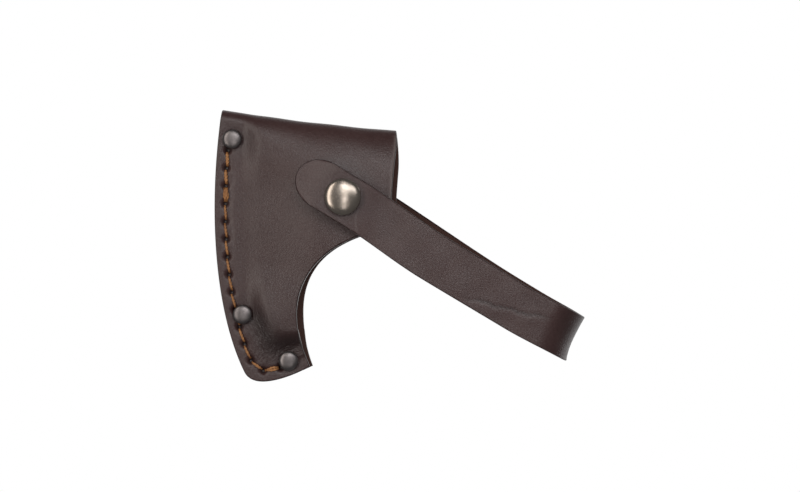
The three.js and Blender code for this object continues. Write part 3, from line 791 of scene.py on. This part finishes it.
flange_radius, flange, neck_radius, head_radius, bore_radius = 5.0, 0.6, 2.5, 2.9, 1.5
tip, base = span_of("snap_stud")
height = base - tip
stud = rounded([[0, tip + flange], [bore_radius, tip + flange], [bore_radius, base], [flange_radius, base],
                [flange_radius, base - flange], [neck_radius, base - flange],
                [neck_radius, base - 0.55 * height], [head_radius, base - 0.7 * height],
                [head_radius, base - 0.85 * height], [head_radius - 0.5, tip], [0, tip]], 0.25)
round_piece("stud", "snap_stud", stud, antique_nickel, "sheath")
post_end, head_back = span_of("snap_stud_post")
stud_post_radius = 1.2
post = rounded([[0, post_end], [stud_post_radius, post_end], [stud_post_radius, head_back - flange],
                [flange_radius, head_back - flange], [flange_radius, head_back], [0, head_back]], 0.2)
round_piece("stud_post", "snap_stud_post", post, antique_nickel, "sheath")

# ---- Strap ----
# One strip of the same leather, 20 mm wide. It is riveted to the back panel, loops round past the mouth,
# comes back over the front panel and ends in a round tip. It bends at the loop's end when the press stud is
# opened.

joints = {joint["name"]: joint for joint in frame["joints"]}
pivot = np.array(joints["strap_swing"]["pos_m"]) / MM
loop_end = np.array(joints["strap_open"]["pos_m"]) / MM
across = np.array(joints["strap_open"]["axis"], float)
across /= np.linalg.norm(across)
along = np.cross(across, [0, 1, 0])
along *= math.copysign(1, along[0])
strap_reach = float((loop_end - pivot) @ along)
rear_face, front_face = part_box("strap_rear")[1].y / MM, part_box("strap_front")[0].y / MM
bend_radius = (rear_face - front_face) / 2
bend_y = (rear_face + front_face) / 2
bend_start = strap_reach - bend_radius
strap_half, tip_reach, tip_round, rear_reach = 10.0, 21.5, 12.0, 12.0


def strap_surface():
    """Grain face of the strap, and its normals. Rows go along it from the riveted end, round the half
    circle of the loop's end and back to the tip. Columns go across it, at the sine of even angles, so that
    both ends are true ellipses."""
    angle = np.linspace(-math.pi / 2, math.pi / 2, 36)[None]
    rear_t, bend_t, front_t = (np.linspace(0, 1, n)[:, None] for n in (110, 70, 150))
    rear_from = -rear_reach + strap_half * (1 - np.cos(angle))
    rear_u = rear_from + (bend_start - rear_from) * rear_t
    turn = math.pi / 2 - math.pi * bend_t[1:-1]
    bend_u = np.repeat(bend_start + bend_radius * np.cos(turn), angle.size, axis=1)
    front_to = -tip_reach + tip_round * (1 - np.cos(angle))
    front_u = bend_start + (front_to - bend_start) * front_t
    u = np.concatenate([rear_u, bend_u, front_u])
    bend_side = bend_y + bend_radius * np.sin(turn)
    y = np.concatenate([np.full(rear_t.shape, rear_face), bend_side, np.full(front_t.shape, front_face)])
    away = np.concatenate([np.full(rear_t.shape, math.pi / 2), turn, np.full(front_t.shape, -math.pi / 2)])
    y, away = (np.repeat(column, angle.size, axis=1) for column in (y, away))
    w = np.repeat(strap_half * np.sin(angle), len(u), axis=0)
    normal = np.cos(away)[..., None] * along + np.sin(away)[..., None] * np.array([0, 1, 0])
    return u, y, w, normal


def strap_shape(u, y, w):
    """The strap as it hangs: a saddle at the loop's end, whose edges stand out past its middle, a slight
    sideways bow of the front run, a rear run that starts a little higher, and a tip that settles towards
    the body."""
    tip_settle, stud_settle = 3.2, 1.3
    bend = smoothstep(u, bend_start - 8, strap_reach)
    front = smoothstep((bend_y - y) / bend_radius, -1, 1)  # 0 on the rear run, 1 on the front run
    rear_shift = 1.9 - 2.6 * smoothstep(u, 0, 80) + 0.4 * smoothstep(u, 90, strap_reach)
    front_shift = -2.1 * smoothstep(u, 5, 45) + 1.3 * smoothstep(u, 85, strap_reach)
    u = u + bend * (0.9 * ((w / strap_half) ** 2 - 0.6) - 0.13 * w)
    w = w * (1 - 0.02 * smoothstep(u, 45, 95)) + rear_shift + (front_shift - rear_shift) * front
    y = y + front * (tip_settle * smoothstep(-u, 5, 22) + stud_settle * np.exp(-((u - 19) / 7) ** 2 / 2))
    return u, y, w


strap_u, strap_y, strap_w, strap_normal = strap_surface()
shaped_u, shaped_y, shaped_w = strap_shape(strap_u, strap_y, strap_w)
strap_face = pivot + shaped_u[..., None] * along + shaped_w[..., None] * across
strap_face[..., 1] = shaped_y


def strap_details():
    """Height and marks of the strap's grain: leather drawn in under the cap and the rivet, a crooked crease
    that runs across the front run to the loop's end, a scratch beside the cap and a slight unevenness. Its
    dark mark is painted shade along the crease, in a ring round the cap and at the loop's end; its pale mark
    is the scratch."""
    cap_press, crease_depth, swell_height, unevenness = 0.35, 0.26, 0.14, 0.07
    on_front = strap_normal[..., 1] < -0.99
    middle_dip = np.exp(-(strap_u ** 2 + strap_w ** 2) / (2 * 6.5 ** 2))
    crease_w = -6.5 + 0.295 * (strap_u - 66.9) + 0.35 * np.sin(0.55 * strap_u) + 0.2 * np.sin(1.3 * strap_u)
    span = smoothstep(strap_u, 62, 72) * smoothstep(-strap_u, -101, -92)
    off = strap_w - crease_w
    crease = np.exp(-(off / 0.42) ** 2 / 2) * span * on_front
    swell = np.exp(-((off + 1.6) / 1.9) ** 2 / 2) * span * on_front
    scratch_u = 8.5 - 0.6 * (strap_w + 3.3)
    scratch = np.exp(-((strap_u - scratch_u) / 0.22) ** 2 / 2)
    scratch = scratch * smoothstep(-strap_w, 3.0, 4.0) * smoothstep(strap_w, -9.6, -8.8) * on_front
    uneven = unevenness * np.sin(0.17 * strap_u + 0.4 * strap_w)
    uneven = uneven + 0.05 * np.sin(0.41 * strap_u - 0.23 * strap_w + 1)
    height = -cap_press * middle_dip - crease_depth * crease + swell_height * swell + uneven * (1 - middle_dip)
    # Painted shade at the loop's end, in a ring round the cap's edge and along the crease.
    end = 0.35 * smoothstep(strap_u, 98, 106) * smoothstep(strap_w, -9, 6)
    painted_cap_shade = 0.35 * np.exp(-(strap_u ** 2 + strap_w ** 2) / (2 * 5.6 ** 2))
    dark = np.clip(0.75 * crease + painted_cap_shade + end, 0, 1)
    return height, dark, 0.8 * scratch


strap_height, strap_painted_shade, strap_pale = strap_details()
strap = sheet_of_leather("strap_leather", strap_face, strap_height, leather,
                         {"dark": strap_painted_shade, "pale": strap_pale}, 0.5, strap_normal)
strap.data.materials.append(
    leather_finish("strap_leather", base=(0.072, 0.036, 0.034), shadow=(0.054, 0.024, 0.023), gloss=0.38))
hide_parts("strap_rear", "strap_front")
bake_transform(strap)

# ---- Press stud's female half, and its cap ----
# The socket, under the strap, holds a ring spring that snaps over the stud's head. The domed cap of antique
# brass, 15 mm across, lies on the strap, and its post reaches into the socket.

antique_brass = metal_finish("antique_brass", (0.27, 0.23, 0.195), (0.41, 0.36, 0.315), 0.17, 0.35)
spring_steel = metal_finish("spring_steel", (0.42, 0.42, 0.43), (0.6, 0.6, 0.6), 0.25, 0.3)
socket_bore, socket_radius, post_radius, spring_width = 3.4, 6.0, 1.4, 0.9
socket_front, socket_back = span_of("snap_socket")
ring_front, ring_back = span_of("snap_spring_ring")
ring_play, post_play, mouth_bevel, top_plate = 0.15, 0.1, 0.2, 0.6
ceiling = socket_front + top_plate
groove = socket_bore + spring_width + ring_play
socket = rounded([[socket_bore, socket_back - mouth_bevel], [socket_bore + mouth_bevel, socket_back],
                  [socket_radius, socket_back], [socket_radius, socket_front],
                  [post_radius + post_play, socket_front], [post_radius + post_play, ceiling],
                  [socket_bore, ceiling], [socket_bore, ring_front - ring_play],
                  [groove, ring_front - ring_play], [groove, ring_back + ring_play],
                  [socket_bore, ring_back + ring_play], [socket_bore, socket_back - mouth_bevel]], 0.15)
round_piece("socket", "snap_socket", socket[:-1], antique_nickel, "strap_flap", closed=True)
middle_y, half_y = (ring_front + ring_back) / 2, (ring_back - ring_front) / 2
wire = np.linspace(0, 2 * math.pi, 16, endpoint=False)
ring = np.stack([socket_bore + spring_width / 2 + spring_width / 2 * np.cos(wire),
                 middle_y + half_y * np.sin(wire)], axis=-1)
round_piece("spring_ring", "snap_spring_ring", ring, spring_steel, "strap_flap", closed=True)
cap_front, cap_post_end = span_of("snap_cap")
cap_gap, cap_radius, cap_rim = 0.3, 7.5, 1.3
cap_seat = front_face - cap_gap
cap_post = [[0, cap_post_end], [post_radius, cap_post_end], [post_radius, cap_seat], [3, cap_seat]]
cap_dome = domed(cap_radius, cap_seat, cap_front, cap_rim, 2.0, 40)
cap = np.concatenate([rounded(cap_post, 0.2)[:-1], cap_dome])
round_piece("cap", "snap_cap", cap, antique_brass, "strap_flap")

# ---- Strap rivet ----
# A rivet of antique nickel through the back panel and the strap's end, with a flat head inside the pocket
# and a domed cap behind, on the same axis as the press stud.

rivet_seat, rivet_back = span_of("strap_rivet_cap")
rivet_radius = 4.5
cap = [[0, rivet_seat + grip_depth], [cap_bore, rivet_seat + grip_depth], [cap_bore, rivet_seat]]
cap = np.concatenate([cap, domed(rivet_radius, rivet_seat, rivet_back, rivet_rim, rivet_crown)])
round_piece("strap_cap", "strap_rivet_cap", cap, antique_nickel, "sheath")
head_front, shaft_end = span_of("strap_rivet_post")
post = rounded([[0, head_front], [rivet_radius, head_front], [rivet_radius, head_front + flange],
                [shaft_radius, head_front + flange], [shaft_radius, shaft_end], [0, shaft_end]], 0.2)
round_piece("strap_post", "strap_rivet_post", post, antique_nickel, "sheath")

# ---- Studio ----
# A pale floor with soft edges below the cover, which is held up by the head inside it. Three upright light
# bars and a soft box above the camera light it, in a white room.

camera_data = bpy.data.cameras.new("camera")
camera_data.sensor_width, camera_data.lens = 36, 108
camera = bpy.data.objects.new("camera", camera_data)
camera.location = (0.0025, -1.0, -0.0275)
camera.rotation_euler = (math.pi / 2, 0, 0)
bpy.context.scene.collection.objects.link(camera)
bpy.context.scene.camera = camera
bpy.context.scene.view_settings.view_transform = "Standard"

floor_height, floor_radius = -0.24, 1.0


def floor_disc():
    """Rings of points out to the floor's radius, with one point in the middle."""
    sides = 64
    angle = np.linspace(0, 2 * math.pi, sides, endpoint=False)
    radius = np.linspace(0, floor_radius, 9)[1:, None]
    x, y = radius * np.cos(angle), radius * np.sin(angle)
    spots = np.stack([x, y, np.full(x.shape, floor_height)], axis=-1)
    number = np.arange(x.size).reshape(-1, sides)
    step = np.roll(number, -1, axis=1)
    faces = np.stack([number[:-1], number[1:], step[1:], step[:-1]], axis=-1).reshape(-1, 4).tolist()
    faces += [[x.size, a, b] for a, b in zip(number[0], step[0])]
    return skin("floor", np.concatenate([spots.reshape(-1, 3), [[0, 0, floor_height]]]), faces)


floor = floor_disc()
pale = Finish("pale_floor")
here = pale.node("ShaderNodeTexCoord", {}, {}, "Object")
flat_here = pale.node("ShaderNodeVectorMath", {"operation": "MULTIPLY"}, {0: here, 1: (1, 1, 0)})
reach = pale.node("ShaderNodeVectorMath", {"operation": "LENGTH"}, {0: flat_here}, "Value")
pale.shade(Base_Color=(0.82, 0.82, 0.82), Roughness=0.9, Alpha=pale.ramp(reach, (0.35, 1.0), (0.95, 0.0)),
           Emission_Color=(1, 1, 1), Emission_Strength=0.25)
floor.data.materials.append(pale.material)
floor.visible_diffuse = floor.visible_glossy = False


def light_bar(name, azimuth, elevation, distance, width, height, radiance, tint=(1, 1, 1)):
    """A rectangular light aimed at the cover, from angles seen from the cover: azimuth to the camera's
    right and elevation over the horizon. Its power is radiance times pi times its area."""
    lamp = bpy.data.lights.new(name, "AREA")
    lamp.shape, lamp.size, lamp.size_y = "RECTANGLE", width, height
    lamp.energy, lamp.color = radiance * math.pi * width * height, tint
    a, e = math.radians(azimuth), math.radians(elevation)
    way = Vector((math.sin(a) * math.cos(e), -math.cos(a) * math.cos(e), math.sin(e)))
    light = bpy.data.objects.new(name, lamp)
    light.location = way * distance
    light.rotation_euler = way.to_track_quat("Z", "Y").to_euler()
    bpy.context.scene.collection.objects.link(light)


light_bar("middle_bar", 1.5, 10, 1.5, 0.12, 2.0, 4.6, (1.0, 0.97, 0.95))
light_bar("left_bar", -35, 8, 1.4, 0.34, 1.6, 3.9, (1.0, 0.94, 0.88))
light_bar("right_bar", 115, 8, 1.4, 0.14, 1.4, 4.0, (0.96, 0.98, 1.0))
light_bar("soft_box", 14, 20, 1.5, 1.0, 0.50, 2.8)

white_room = bpy.data.worlds.new("white_room")
bpy.context.scene.world = white_room
white_room.use_nodes = True
white_room.node_tree.nodes.clear()
room = Graph(white_room.node_tree)
way = room.node("ShaderNodeTexCoord", {}, {}, "Generated")
depth = room.node("ShaderNodeSeparateXYZ", {}, {0: way}, "Y")
fall = {"Value": depth, "From Min": 0.15, "From Max": 0.8, "To Min": 0.16, "To Max": 1.0}
wall = room.node("ShaderNodeMapRange", {"interpolation_type": "SMOOTHSTEP"}, fall)
seen = room.node("ShaderNodeLightPath", {}, {}, "Is Camera Ray")
strength = room.node("ShaderNodeMath", {"operation": "MAXIMUM"}, {0: wall, 1: seen})
glow = room.node("ShaderNodeBackground", {}, {"Color": (1, 1, 1), "Strength": strength})
room.node("ShaderNodeOutputWorld", {}, {"Surface": glow})
